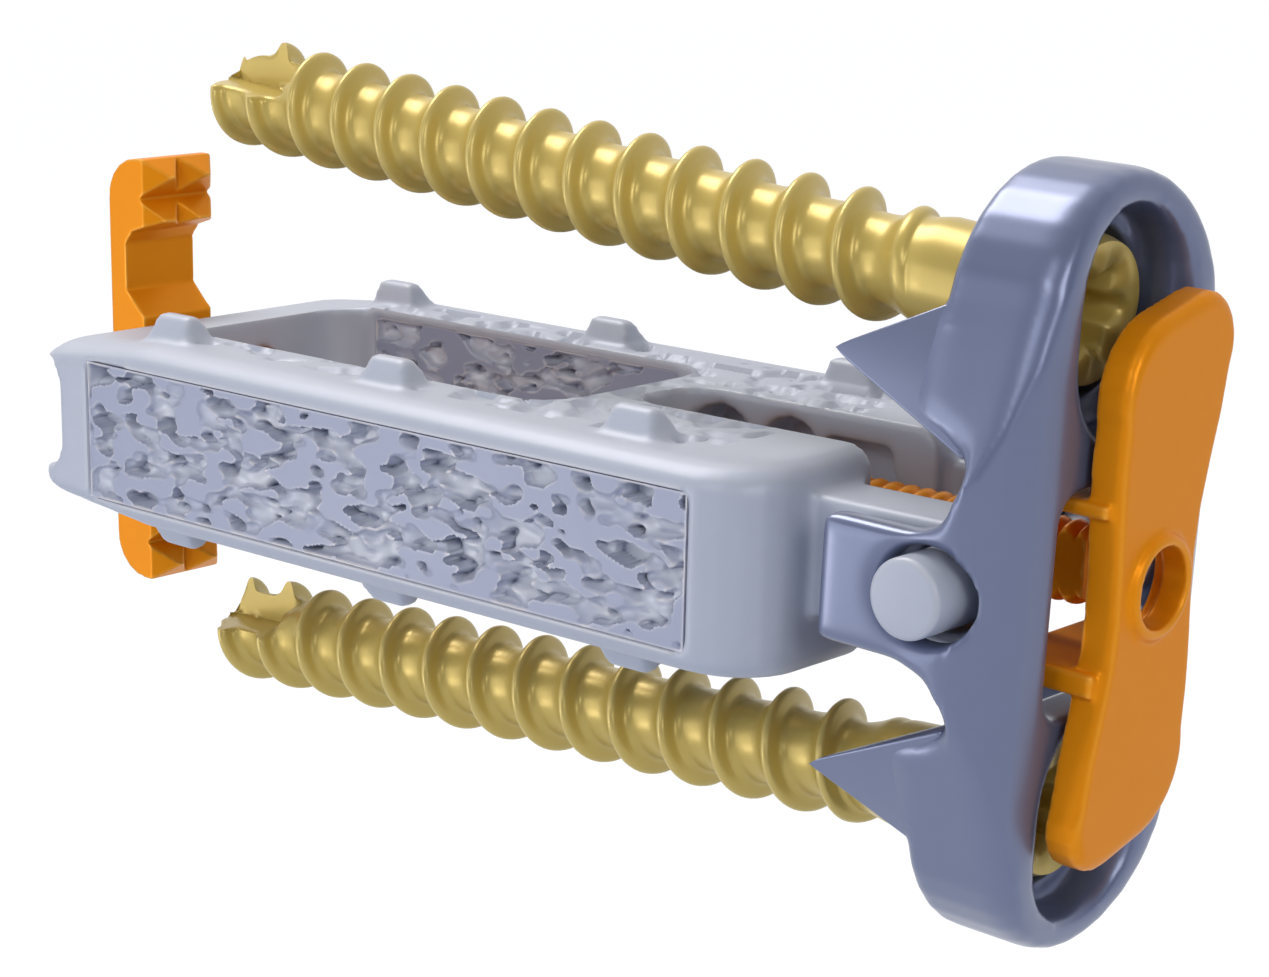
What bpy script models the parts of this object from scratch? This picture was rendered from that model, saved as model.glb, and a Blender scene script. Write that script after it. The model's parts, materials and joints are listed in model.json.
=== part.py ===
# Lateral lumbar interbody cage with its hinged bone plate, two bone screws,
# a screw cover and a turning end anchor on a long threaded shaft.
#
# Lengths are in millimetres and are turned into metres by the constant MM.
# +X runs from the nose to the plate, +Z is up and -Y is the near side.
# Every piece is measured from the plate end of the shaft, on the shaft's axis.
# The world origin is the middle of the divider's top face, on the cage's upper bone face.

import math
import random

import bmesh
import bpy
from mathutils import Matrix, Vector

MM = 0.001
GAP = 0.3                   # clearance that seated pieces keep
OVERCUT = 1.0               # how far a cutter runs past the face it opens

# Cage body
CAGE_NOSE_X = -56.05
CAGE_TAIL_X = -9.8
CAGE_HALF_WIDTH = 10.8
CAGE_HALF_HEIGHT = 4.7
CAGE_MID_Z = -0.9
NOSE_CORNER = 1.0           # plan radius of the leading corners
TAIL_CORNER = 3.6           # plan radius of the trailing corners
SHOULDER_WIDTH = 2.3        # width of the rounded edge, seen from above
SHOULDER_DROP = 1.15        # height of the rounded edge, seen from the side
TAPER_START_X = -48.5
TAPER_SCALE = 0.83          # height left at the nose

# Openings of the cage
GRAFT_START_X = -51.0
GRAFT_END_X = -25.5
GRAFT_HALF_WIDTH = 5.9
GRAFT_CORNER = 2.2
DIVIDER = 1.7
CHANNEL_HALF_WIDTH = 2.3
CHANNEL_CORNER = 1.9
CHANNEL_HOLE_RADIUS = 1.8
CHANNEL_HOLE_DEPTH = 1.9
CHANNEL_HOLE_RISE = 2.2     # above the cage's mid height
CHANNEL_HOLE_PITCH = 4.0
POCKET_LENGTH = 4.4
POCKET_DEPTH = 1.4
POCKET_TOP = 1.2            # solid left above and below the pocket
NOTCH_DEPTH = 1.75
NOTCH_TOP_Z = 2.35
NOTCH_BOTTOM_Z = -3.25
NOTCH_FILLET = 1.2

# Porous side panels
PANEL_START_X = -52.1
PANEL_END_X = -13.1
PANEL_BORDER = 0.12
PORE = 1.45
PORE_DEPTH = 0.75
PORE_RIM = 0.22
PORE_FLOOR_SHARE = 0.72
PORE_SEED = 7
WALL_PORE = 2.15            # pore size on the walls of the graft window
WALL_BORDER = 0.5           # solid left above and below those pores

# Teeth
TOOTH_START_X = -50.0
TOOTH_PITCH = 15.05
TOOTH_COUNT = 3
TOOTH_LENGTH = 3.3
TOOTH_HEIGHT = 1.2
TOOTH_INNER_Y = 6.7
TOOTH_OUTER_Y = 9.0
TOOTH_ROOT = 0.5            # how far a tooth is sunk into the body
TOOTH_TOP_INNER_Y = 7.3
TOOTH_TOP_OUTER_Y = 8.0

# Hinge arms and pins
PIN_X = -2.8
PIN_Z = -0.2
PIN_RADIUS = 1.7
PIN_FACE_Y = 9.6
PIN_TIP_Y = 2.3
PIN_TIP_RADIUS = 0.9
PIN_TAPER = 1.6
PIN_EDGE = 0.25
ARM_INNER_Y = 3.2
ARM_OUTER_Y = 6.6
ARM_HALF_HEIGHT = 2.6
ARM_ROOT = 2.0              # how far an arm is sunk into the body

# Plate, in its own upright frame about the pin axis
PLATE_PITCH = 1.4           # degrees that the plate leans at rest
PLATE_FRONT_X = 1.05
PLATE_BACK_X = -4.2
LOOP_CENTRE_Z = 10.2
LOOP_RADIUS = 6.4
PLATE_HALF_WIDTH = 8.7
PLATE_WAIST_Z = 4.4
RIM = 1.5                   # width of the rounded front edge
BACK_RIM = 0.35
FRONT_SWEEP = 0.9           # how far the front falls back at the end of a loop
SHOULDER_SWEEP = 2.6        # how far the front falls back at the sides
EAR_THICKNESS = 1.6
EAR_BACK_X = -7.8
EAR_HALF_HEIGHT = 2.75
EAR_DROP = 0.25
EAR_HOLE_SLOT = 0.5
CORE_BACK_X = -1.7
WINDOW_HALF_WIDTH = 4.6
WINDOW_TOP_Z = 4.1
WINDOW_BOTTOM_Z = -5.5
WINDOW_CORNER = 1.4
EAR_FLARE = 1.9             # extra height of an ear where it meets the plate
SPIKE_TIP = (-8.9, 7.3, 8.9)
ARM_CLEARANCE = 0.5

# Bone screws, along their own axis from the tip to the head
SCREW_TILT = 4.08           # degrees away from the shaft
SCREW_RISE = 10.5           # height of the axis at X = 0
SCREW_RADIUS = 2.75
SCREW_CORE = 2.0
SCREW_PITCH = 3.08
SCREW_TIP_X = -53.6
SCREW_TIP_SHARE = 0.8       # thickness of the blunt tip
SCREW_TIP_NOSE = 0.55       # how far the tip stands in front of the first turn
FLUTE_LENGTH = 4.6
FLUTE_FLOOR = 0.35          # height of the flute's floor above the axis
SCREW_THREAD_END_X = -6.4
SCREW_STEPS = 15            # facets to one turn
HEAD_CENTRE_X = -2.2
HEAD_RADIUS = 3.2
HEAD_FRONT_X = -1.0
HEAD_NECK = 2.45            # radius where the head meets the stem
MOUTH_TRAVEL = 1.0          # how far the mouth runs up and down past the head
RECESS_RADIUS = 1.95
RECESS_LOBE = 0.3
RECESS_DEPTH = 2.2
RECESS_ENTRY = 0.45         # extra radius of the recess at its mouth

# Screw cover
COVER_FRONT_X = 2.95
COVER_THICKNESS = 1.6
COVER_TIGHT_CORNER = (2.35, 9.8, 2.0)      # across, up and radius
COVER_WIDE_CORNER = (-0.05, 7.85, 3.35)
COVER_WAIST = 2.85
COVER_HOLE = 1.75
COVER_BOSS = 2.25
COVER_BOSS_RISE = 0.4
TONGUE_HALF_WIDTH = 3.6
TONGUE_THICKNESS = 1.0
TONGUE_BACK_X = -2.4
TONGUE_RISE = 0.6           # height of a tongue above the hinge arms

# Shaft and end anchor
SHAFT_RADIUS = 1.75
SHAFT_FLAT = 0.9
SHAFT_FLAT_START_X = -51.0
SHAFT_NECK = 0.85
SHAFT_CHAMFER = 0.3
EDGE_ROOM = 0.1             # how far the flange sits inside the blade's outer face
SHAFT_FLANGE = 1.6
SHAFT_FLANGE_THICKNESS = 0.5
ANCHOR_OUTER_X = -60.4
ANCHOR_THICKNESS = 1.3
ANCHOR_HUB = 2.7
ANCHOR_HALF_WIDTH = 2.33
ANCHOR_REACH = 11.3
ANCHOR_BEND = 2.2
ANCHOR_TOOTH_Y = 1.2
ANCHOR_TIP_HIGH_X = -56.35
ANCHOR_TIP_HIGH_Z = 10.4
ANCHOR_TIP_LOW_X = -56.6
ANCHOR_TIP_LOW_Z = 8.1
ANCHOR_TOOTH_BASE = 1.3     # depth of the blade's tooth roots
ANCHOR_BOSS_RISE = 4.3      # where the slope of the boss meets an arm
ANCHOR_BOSS_TOP = 3.0
RUNNING_GAP = 0.3

FULL_TURN = 2.0 * math.pi


def clear_scene():
    for old in list(bpy.data.objects):
        bpy.data.objects.remove(old, do_unlink=True)


def make_material(name, colour, roughness, metallic):
    material = bpy.data.materials.new(name)
    material.use_nodes = True
    shader = material.node_tree.nodes["Principled BSDF"]
    shader.inputs["Base Color"].default_value = (*colour, 1.0)
    shader.inputs["Roughness"].default_value = roughness
    shader.inputs["Metallic"].default_value = metallic
    return material


def add_empty(name, place, parent=None):
    empty = bpy.data.objects.new(name, None)
    empty.location = Vector(place) * MM
    empty.parent = parent
    bpy.context.scene.collection.objects.link(empty)
    return empty


def add_object(name, shape, parent, material=None, smooth=None):
    """Make an object from a bmesh whose points are in millimetres."""
    bmesh.ops.scale(shape, vec=(MM, MM, MM), verts=shape.verts)
    bmesh.ops.recalc_face_normals(shape, faces=shape.faces)
    mesh = bpy.data.meshes.new(name)
    shape.to_mesh(mesh)
    shape.free()
    if smooth is not None:
        mesh.shade_smooth()
        mesh.set_sharp_from_angle(angle=math.radians(smooth))
    item = bpy.data.objects.new(name, mesh)
    item.parent = parent
    if material is not None:
        mesh.materials.append(material)
    bpy.context.scene.collection.objects.link(item)
    return item


def combine(target, tool, operation):
    """Hide a helper solid and cut it from, or join it to, a piece."""
    tool.hide_render = True
    tool.display_type = "WIRE"
    modifier = target.modifiers.new(tool.name, "BOOLEAN")
    modifier.operation = operation
    modifier.solver = "EXACT"
    modifier.object = tool


def cut(target, tool):
    combine(target, tool, "DIFFERENCE")


def join(target, tool):
    combine(target, tool, "UNION")


def keep_common(target, tool):
    combine(target, tool, "INTERSECT")


def arc(centre, radius, start, end, steps):
    """Points of an arc, with the angles in degrees."""
    points = []
    for index in range(steps + 1):
        angle = math.radians(start + (end - start) * index / steps)
        points.append((centre[0] + radius * math.cos(angle), centre[1] + radius * math.sin(angle)))
    return points


def rounded_box(low, high, radius, steps=4):
    """Outline of a rectangle with four equal round corners."""
    (a0, b0), (a1, b1) = low, high
    points = arc((a1 - radius, b1 - radius), radius, 0, 90, steps)
    points += arc((a0 + radius, b1 - radius), radius, 90, 180, steps)
    points += arc((a0 + radius, b0 + radius), radius, 180, 270, steps)
    points += arc((a1 - radius, b0 + radius), radius, 270, 360, steps)
    return points


def place_point(axis, along, pair):
    """A point from its coordinate along an axis and the two others in X, Y, Z order."""
    if axis == "X":
        return (along, pair[0], pair[1])
    if axis == "Y":
        return (pair[0], along, pair[1])
    return (pair[0], pair[1], along)


def prism(outline, axis, low, high):
    """Extrude a closed outline along an axis."""
    shape = bmesh.new()
    start = [shape.verts.new(place_point(axis, low, pair)) for pair in outline]
    face = shape.faces.new(start)
    grown = bmesh.ops.extrude_face_region(shape, geom=[face])
    moved = [item for item in grown["geom"] if isinstance(item, bmesh.types.BMVert)]
    bmesh.ops.translate(shape, verts=moved, vec=place_point(axis, high - low, (0.0, 0.0)))
    return shape


def stack_rings(rings):
    """Close a solid from rings of points with equal counts, first to last."""
    shape = bmesh.new()
    loops = [[shape.verts.new(point) for point in ring] for ring in rings]
    count = len(loops[0])
    for below, above in zip(loops, loops[1:]):
        for index in range(count):
            following = (index + 1) % count
            shape.faces.new((below[index], below[following], above[following], above[index]))
    shape.faces.new(reversed(loops[0]))
    shape.faces.new(loops[-1])
    return shape


def turned(profile, steps, axis="X"):
    """Revolve (along, radius) pairs about an axis and close both ends."""
    rings = []
    for along, radius in profile:
        ring = []
        for index in range(steps):
            angle = FULL_TURN * index / steps
            ring.append(place_point(axis, along, (radius * math.cos(angle), radius * math.sin(angle))))
        rings.append(ring)
    return stack_rings(rings)


def shift(shape, offset):
    bmesh.ops.translate(shape, verts=shape.verts, vec=offset)
    return shape


def hull(points):
    shape = bmesh.new()
    verts = [shape.verts.new(point) for point in points]
    made = bmesh.ops.convex_hull(shape, input=verts)
    loose = [item for item in made["geom_interior"] if isinstance(item, bmesh.types.BMVert)]
    bmesh.ops.delete(shape, geom=loose, context="VERTS")
    return shape


# Cage

def cage_outline(inset):
    """Plan of the cage, drawn in by an inset."""
    half = CAGE_HALF_WIDTH - inset
    nose = CAGE_NOSE_X + min(inset, NOSE_CORNER * 0.4)
    tail = CAGE_TAIL_X - inset * 0.5
    small = NOSE_CORNER
    large = TAIL_CORNER - inset * 0.5
    points = arc((tail - large, half - large), large, 0, 90, 6)
    points += arc((nose + small, half - small), small, 90, 180, 3)
    points += arc((nose + small, small - half), small, 180, 270, 3)
    points += arc((tail - large, large - half), large, 270, 360, 6)
    return points


def cage_blank():
    """The solid body: a rounded slab whose height tapers at the nose."""
    side = CAGE_HALF_HEIGHT - SHOULDER_DROP
    levels = []
    steps = 4
    for index in range(steps + 1):
        angle = 0.5 * math.pi * index / steps
        inset = SHOULDER_WIDTH * (1.0 - math.cos(angle))
        levels.append((side + SHOULDER_DROP * math.sin(angle), inset))
    rings = []
    for height, inset in [(-h, i) for h, i in reversed(levels)] + levels:
        rings.append([(x, y, CAGE_MID_Z + height) for x, y in cage_outline(inset)])
    shape = stack_rings(rings)
    geometry = shape.verts[:] + shape.edges[:] + shape.faces[:]
    bmesh.ops.bisect_plane(shape, geom=geometry, plane_co=(TAPER_START_X, 0, 0), plane_no=(1, 0, 0))
    length = TAPER_START_X - CAGE_NOSE_X
    for vert in shape.verts:
        share = max(0.0, (TAPER_START_X - vert.co.x) / length)
        scale = 1.0 - (1.0 - TAPER_SCALE) * share
        vert.co.z = CAGE_MID_Z + (vert.co.z - CAGE_MID_Z) * scale
    return shape


def tooth(start, side, up):
    """A bone tooth: a short block that leans inwards and ends in a narrow top."""
    base = CAGE_MID_Z + up * (CAGE_HALF_HEIGHT - TOOTH_ROOT)
    top = CAGE_MID_Z + up * (CAGE_HALF_HEIGHT + TOOTH_HEIGHT)
    shoulder = CAGE_MID_Z + up * (CAGE_HALF_HEIGHT + 0.45 * TOOTH_HEIGHT)
    points = []
    for x in (start, start + TOOTH_LENGTH):
        points.append((x, side * TOOTH_INNER_Y, base))
        points.append((x, side * TOOTH_OUTER_Y, base))
    bulge = 0.4 * (TOOTH_TOP_INNER_Y - TOOTH_INNER_Y)
    for x in (start + 0.2, start + TOOTH_LENGTH - 0.35):
        points.append((x, side * (TOOTH_INNER_Y + bulge), shoulder))
    for x in (start + 0.3, start + TOOTH_LENGTH - 0.8):
        points.append((x, side * TOOTH_TOP_INNER_Y, top))
        points.append((x, side * TOOTH_TOP_OUTER_Y, top))
    return hull(points)


def pore_relief(length, height, pore_size):
    """A slab whose back is a sheet of uneven pegs, one for each pore."""
    columns = round(length / pore_size)
    rows = round(height / pore_size)
    shape = bmesh.new()
    bmesh.ops.create_grid(shape, x_segments=columns, y_segments=rows, size=1.0)
    chance = random.Random(PORE_SEED)
    for vert in shape.verts:
        inside = abs(vert.co.x) < 0.999 and abs(vert.co.y) < 0.999
        across = vert.co.x * length / 2.0
        rise = vert.co.y * height / 2.0
        if inside:
            across += chance.uniform(-0.3, 0.3) * pore_size
            rise += chance.uniform(-0.3, 0.3) * pore_size
        vert.co = (across, 0.0, rise)
    border = [edge for edge in shape.edges if edge.is_boundary]
    pores = shape.faces[:]
    grown = bmesh.ops.extrude_edge_only(shape, edges=border)
    outer = [item for item in grown["geom"] if isinstance(item, bmesh.types.BMVert)]
    bmesh.ops.translate(shape, verts=outer, vec=(0.0, -OVERCUT - PORE_RIM, 0.0))
    lid = [edge for edge in shape.edges if edge.is_boundary]
    bmesh.ops.holes_fill(shape, edges=lid)
    bmesh.ops.inset_individual(shape, faces=pores, thickness=PORE_RIM)
    for pore in pores:
        centre = pore.calc_center_median()
        depth = PORE_DEPTH * chance.uniform(0.7, 1.2)
        for vert in pore.verts:
            vert.co = centre + (vert.co - centre) * PORE_FLOOR_SHARE
            vert.co.y += depth
    return shape


def panel_cutter(side):
    """The relief that sinks one porous panel into a long side of the cage."""
    length = PANEL_END_X - PANEL_START_X
    height = 2.0 * (CAGE_HALF_HEIGHT - SHOULDER_DROP - PANEL_BORDER)
    shape = pore_relief(length, height, PORE)
    if side > 0:
        bmesh.ops.rotate(shape, verts=shape.verts, matrix=Matrix.Rotation(math.pi, 3, "Z"))
    middle = (PANEL_START_X + PANEL_END_X) / 2.0
    return shift(shape, (middle, side * (CAGE_HALF_WIDTH - PORE_RIM), CAGE_MID_Z))


def wall_cutter(side):
    """The relief on one long wall of the graft window."""
    length = GRAFT_END_X - GRAFT_START_X - 2.0 * GRAFT_CORNER
    height = 2.0 * (CAGE_HALF_HEIGHT - WALL_BORDER)
    shape = pore_relief(length, height, WALL_PORE)
    if side < 0:
        bmesh.ops.rotate(shape, verts=shape.verts, matrix=Matrix.Rotation(math.pi, 3, "Z"))
    middle = (GRAFT_START_X + GRAFT_END_X) / 2.0
    return shift(shape, (middle, side * (GRAFT_HALF_WIDTH + PORE_RIM), CAGE_MID_Z))


def arm(side):
    """One hinge arm, with a round end about the pin axis."""
    root = CAGE_TAIL_X - ARM_ROOT
    outline = [(root, PIN_Z - ARM_HALF_HEIGHT)]
    outline += arc((PIN_X, PIN_Z), ARM_HALF_HEIGHT, -90, 90, 8)
    outline.append((root, PIN_Z + ARM_HALF_HEIGHT))
    low, high = sorted((side * ARM_INNER_Y, side * ARM_OUTER_Y))
    return prism(outline, "Y", low, high)


def make_cage(parent, material):
    cage = add_object("cage", cage_blank(), parent, material, 35)
    top = CAGE_MID_Z + CAGE_HALF_HEIGHT + OVERCUT
    bottom = CAGE_MID_Z - CAGE_HALF_HEIGHT - OVERCUT

    for side in (-1, 1):
        join(cage, add_object(f"arm_{side}", arm(side), parent))

    graft = rounded_box((GRAFT_START_X, -GRAFT_HALF_WIDTH), (GRAFT_END_X, GRAFT_HALF_WIDTH), GRAFT_CORNER)
    cut(cage, add_object("graft_window", prism(graft, "Z", bottom, top), parent))

    channel_start = GRAFT_END_X + DIVIDER
    channel_end = PIN_X + ARM_HALF_HEIGHT + OVERCUT
    low, high = (channel_start, -CHANNEL_HALF_WIDTH), (channel_end, CHANNEL_HALF_WIDTH)
    channel = rounded_box(low, high, CHANNEL_CORNER)
    cut(cage, add_object("channel", prism(channel, "Z", bottom, top), parent))

    reach = CHANNEL_HALF_WIDTH + CHANNEL_HOLE_DEPTH
    for index in range(2):
        along = channel_start + CHANNEL_HOLE_RADIUS + index * CHANNEL_HOLE_PITCH
        hole = turned([(-reach, CHANNEL_HOLE_RADIUS), (reach, CHANNEL_HOLE_RADIUS)], 16, "Y")
        shift(hole, (along, 0.0, CAGE_MID_Z + CHANNEL_HOLE_RISE))
        cut(cage, add_object(f"channel_hole_{index}", hole, parent))

    pocket_end = CAGE_TAIL_X - TAIL_CORNER / 2.0
    slant = POCKET_LENGTH * 0.35
    low_z = CAGE_MID_Z - CAGE_HALF_HEIGHT + POCKET_TOP
    high_z = CAGE_MID_Z + CAGE_HALF_HEIGHT - POCKET_TOP
    outline = [(pocket_end - POCKET_LENGTH, low_z), (pocket_end + slant / 2.0, low_z)]
    outline += [(pocket_end - slant / 2.0, high_z), (pocket_end - POCKET_LENGTH, high_z)]
    wide = CHANNEL_HALF_WIDTH + POCKET_DEPTH
    cut(cage, add_object("pocket", prism(outline, "Y", -wide, wide), parent))

    notch = rounded_box(
        (CAGE_NOSE_X - 2.0 * NOTCH_DEPTH, NOTCH_BOTTOM_Z),
        (CAGE_NOSE_X + NOTCH_DEPTH, NOTCH_TOP_Z),
        NOTCH_FILLET,
    )
    wide = CAGE_HALF_WIDTH + OVERCUT
    cut(cage, add_object("nose_notch", prism(notch, "Y", -wide, wide), parent))

    bore = SHAFT_RADIUS + RUNNING_GAP
    drill = turned([(CAGE_NOSE_X - OVERCUT, bore), (channel_start + CHANNEL_CORNER, bore)], 20)
    cut(cage, add_object("shaft_bore", drill, parent))

    for side in (-1, 1):
        near = side * (ARM_INNER_Y - OVERCUT)
        far = side * (ARM_OUTER_Y + OVERCUT)
        low, high = sorted((near, far))
        drill = turned([(low, PIN_RADIUS + GAP), (high, PIN_RADIUS + GAP)], 20, "Y")
        cut(cage, add_object(f"pin_bore_{side}", shift(drill, (PIN_X, 0.0, PIN_Z)), parent))

    for side in (-1, 1):
        cut(cage, add_object(f"porous_panel_{side}", panel_cutter(side), parent))
        cut(cage, add_object(f"porous_wall_{side}", wall_cutter(side), parent))

    for up in (-1, 1):
        for side in (-1, 1):
            for index in range(TOOTH_COUNT):
                start = TOOTH_START_X + index * TOOTH_PITCH
                name = f"tooth_{up}_{side}_{index}"
                join(cage, add_object(name, tooth(start, side, up), parent))
    return cage


def make_pin(name, side, parent, material):
    """A headed pin with a tapered inner tip."""
    profile = [
        (PIN_TIP_Y, PIN_TIP_RADIUS),
        (PIN_TIP_Y + PIN_TAPER, PIN_RADIUS),
        (PIN_FACE_Y - PIN_EDGE, PIN_RADIUS),
        (PIN_FACE_Y, PIN_RADIUS - PIN_EDGE),
    ]
    shape = turned([(side * along, radius) for along, radius in profile], 24, "Y")
    pin = add_object(name, shape, parent, material, 40)
    pin.location = Vector((PIN_X, 0.0, PIN_Z)) * MM
    return pin


# Plate, screws and cover, all measured from the pin axis

def loop_outline():
    """Front outline of the plate: two loops joined by a wider waist."""
    lean = math.degrees(math.atan2(LOOP_CENTRE_Z - PLATE_WAIST_Z, PLATE_HALF_WIDTH))
    lean = lean * 0.35
    points = arc((0.0, LOOP_CENTRE_Z), LOOP_RADIUS, lean, 180.0 - lean, 14)
    points += [(-PLATE_HALF_WIDTH, PLATE_WAIST_Z), (-PLATE_HALF_WIDTH, -PLATE_WAIST_Z)]
    points += arc((0.0, -LOOP_CENTRE_Z), LOOP_RADIUS, 180.0 + lean, 360.0 - lean, 14)
    points += [(PLATE_HALF_WIDTH, -PLATE_WAIST_Z), (PLATE_HALF_WIDTH, PLATE_WAIST_Z)]
    return points


def plate_blank():
    """The plate as a slab with a broad rounded front edge."""
    outline = loop_outline()
    levels = [(PLATE_BACK_X, BACK_RIM), (PLATE_BACK_X + BACK_RIM, 0.0)]
    steps = 4
    for index in range(steps + 1):
        angle = 0.5 * math.pi * index / steps
        levels.append((PLATE_FRONT_X - RIM * (1.0 - math.sin(angle)), RIM * 0.8 * (1.0 - math.cos(angle))))
    rings = []
    for along, inset in levels:
        ring = []
        for y, z in outline:
            share = 1.0 - inset / math.hypot(y, z)
            ring.append((along - PIN_X, y * share, z * share))
        rings.append(ring)
    return stack_rings(rings)


def side_outline():
    """Side view of the plate: deep at the loops, thin in the middle, and swept back at the ends."""
    front = PLATE_FRONT_X
    back = PLATE_BACK_X - OVERCUT
    edge = LOOP_CENTRE_Z + LOOP_RADIUS + OVERCUT
    upper = [
        (CORE_BACK_X, EAR_HALF_HEIGHT + 1.2),
        (CORE_BACK_X + 0.4, 5.0),
        (CORE_BACK_X, 6.2),
        (back, 8.0),
        (back, edge),
    ]
    steps = 5
    start = LOOP_CENTRE_Z
    for index in range(steps + 1):
        share = 1.0 - index / steps
        upper.append((front - FRONT_SWEEP * share * share, start + (edge - start) * share))
    lower = [(x, -z) for x, z in reversed(upper)]
    return [(x - PIN_X, z) for x, z in upper + lower]


def ear(side):
    """One ear of the plate, outside its hinge arm."""
    low = -EAR_HALF_HEIGHT - EAR_DROP
    high = EAR_HALF_HEIGHT - EAR_DROP
    front = PLATE_FRONT_X - 1.2
    flare = EAR_FLARE
    outline = [(EAR_BACK_X, low), (CORE_BACK_X - 2.0, low), (CORE_BACK_X - 0.6, low - 0.5)]
    outline += [(CORE_BACK_X + 0.4, low - flare), (front, low - flare), (front, high + flare)]
    outline += [(CORE_BACK_X + 0.4, high + flare), (CORE_BACK_X - 0.4, high + 0.5)]
    outline += [(CORE_BACK_X - 1.6, high), (EAR_BACK_X, high)]
    inner = side * (PLATE_HALF_WIDTH - EAR_THICKNESS)
    low_y, high_y = sorted((inner, side * PLATE_HALF_WIDTH))
    return prism([(x - PIN_X, z) for x, z in outline], "Y", low_y, high_y)


def shoulder_outline():
    """Plan of the plate: its front curves back towards both ears."""
    half = [(5.0, PLATE_FRONT_X), (6.4, PLATE_FRONT_X - 0.2), (7.6, PLATE_FRONT_X - 0.8)]
    half += [(8.4, PLATE_FRONT_X - 1.6), (PLATE_HALF_WIDTH, PLATE_FRONT_X - SHOULDER_SWEEP)]
    back = EAR_BACK_X - OVERCUT
    right = [(x - PIN_X, y) for y, x in half]
    left = [(x - PIN_X, -y) for y, x in reversed(half)]
    far = PLATE_HALF_WIDTH + OVERCUT
    side = PLATE_FRONT_X - SHOULDER_SWEEP - PIN_X
    ends = [(side, far), (back - PIN_X, far), (back - PIN_X, -far), (side, -far)]
    return right + ends + left


def spike(side, up):
    """A bone spike on the back of a loop."""
    points = [
        SPIKE_TIP,
        (PLATE_BACK_X + 0.4, 6.2, LOOP_CENTRE_Z + 1.2),
        (PLATE_BACK_X + 0.4, 5.2, LOOP_CENTRE_Z + 0.6),
        (PLATE_FRONT_X - 2.2, 6.0, LOOP_CENTRE_Z),
        (CORE_BACK_X, 7.9, 5.6),
        (CORE_BACK_X, 6.4, 5.4),
        (PLATE_FRONT_X - 2.2, 7.3, 6.4),
    ]
    return hull([(x - PIN_X, side * y, up * z) for x, y, z in points])


def lay_on_screw(shape, up):
    """Lean a shape about the point where a screw's axis crosses X = 0."""
    turn = Matrix.Rotation(math.radians(up * SCREW_TILT), 3, "Y")
    bmesh.ops.rotate(shape, verts=shape.verts, matrix=turn)
    return shift(shape, (-PIN_X, 0.0, up * SCREW_RISE))


def seat_cutter(up):
    """The screw's seat: a ball seat and a through hole."""
    ball = HEAD_RADIUS + GAP
    hole = SCREW_RADIUS + GAP
    far = HEAD_CENTRE_X - math.sqrt(ball * ball - hole * hole)
    profile = [(PLATE_BACK_X - 3.0, hole), (far, hole)]
    steps = 4
    start = math.acos(hole / ball)
    for index in range(1, steps + 1):
        angle = start * (1.0 - index / steps)
        profile.append((HEAD_CENTRE_X - ball * math.sin(angle), ball * math.cos(angle)))
    profile.append((HEAD_FRONT_X + OVERCUT, ball))
    return lay_on_screw(turned(profile, 28), up)


def mouth_outline(grow):
    """The long mouth through which a screw is put in."""
    ball = HEAD_RADIUS + GAP + grow
    middle = SCREW_RISE
    outline = arc((0.0, middle + MOUTH_TRAVEL), ball, 0, 180, 12)
    return outline + arc((0.0, middle - MOUTH_TRAVEL), ball, 180, 360, 12)


def mouth_cutter(up):
    """The mouth in front of a screw's head, flared at the plate's front."""
    rings = []
    for along, grow in (
        (HEAD_FRONT_X - 0.4, 0.0),
        (PLATE_FRONT_X - RIM, 0.0),
        (PLATE_FRONT_X - 0.6 * RIM, 0.12),
        (PLATE_FRONT_X - 0.25 * RIM, 0.4),
        (PLATE_FRONT_X, 0.9),
        (PLATE_FRONT_X + OVERCUT, 1.1),
    ):
        rings.append([(along - PIN_X, y, up * z) for y, z in mouth_outline(grow)])
    return stack_rings(rings)


def make_plate(parent, material):
    plate = add_object("plate", plate_blank(), parent, material, 35)
    far = PLATE_HALF_WIDTH + OVERCUT
    keep_common(plate, add_object("plate_side_view", prism(side_outline(), "Y", -far, far), parent))
    for side in (-1, 1):
        join(plate, add_object(f"ear_{side}", ear(side), parent))
    top = LOOP_CENTRE_Z + LOOP_RADIUS + OVERCUT
    keep_common(plate, add_object("plate_plan", prism(shoulder_outline(), "Z", -top, top), parent))
    for up in (-1, 1):
        for side in (-1, 1):
            join(plate, add_object(f"spike_{up}_{side}", spike(side, up), parent))
    low, high = (-WINDOW_HALF_WIDTH, WINDOW_BOTTOM_Z), (WINDOW_HALF_WIDTH, WINDOW_TOP_Z)
    window = rounded_box(low, high, WINDOW_CORNER)
    reach = (PLATE_BACK_X - OVERCUT - PIN_X, PLATE_FRONT_X + OVERCUT - PIN_X)
    cut(plate, add_object("plate_window", prism(window, "X", *reach), parent))
    inner = PLATE_HALF_WIDTH - EAR_THICKNESS
    room = ARM_HALF_HEIGHT + ARM_CLEARANCE
    end = ARM_HALF_HEIGHT + GAP
    box = rounded_box((-inner, -room), (inner, room), 0.3, 1)
    cut(plate, add_object("arm_room", prism(box, "X", PLATE_BACK_X - 2.0 - PIN_X, end), parent))
    radius = PIN_RADIUS + GAP
    slot = arc((0.0, 0.0), radius, 90, 270, 10) + arc((EAR_HOLE_SLOT, 0.0), radius, -90, 90, 10)
    cut(plate, add_object("ear_hole", prism(slot, "Y", -far, far), parent))
    for up in (-1, 1):
        cut(plate, add_object(f"screw_seat_{up}", seat_cutter(up), parent))
        cut(plate, add_object(f"screw_mouth_{up}", mouth_cutter(up), parent))
    return plate


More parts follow.
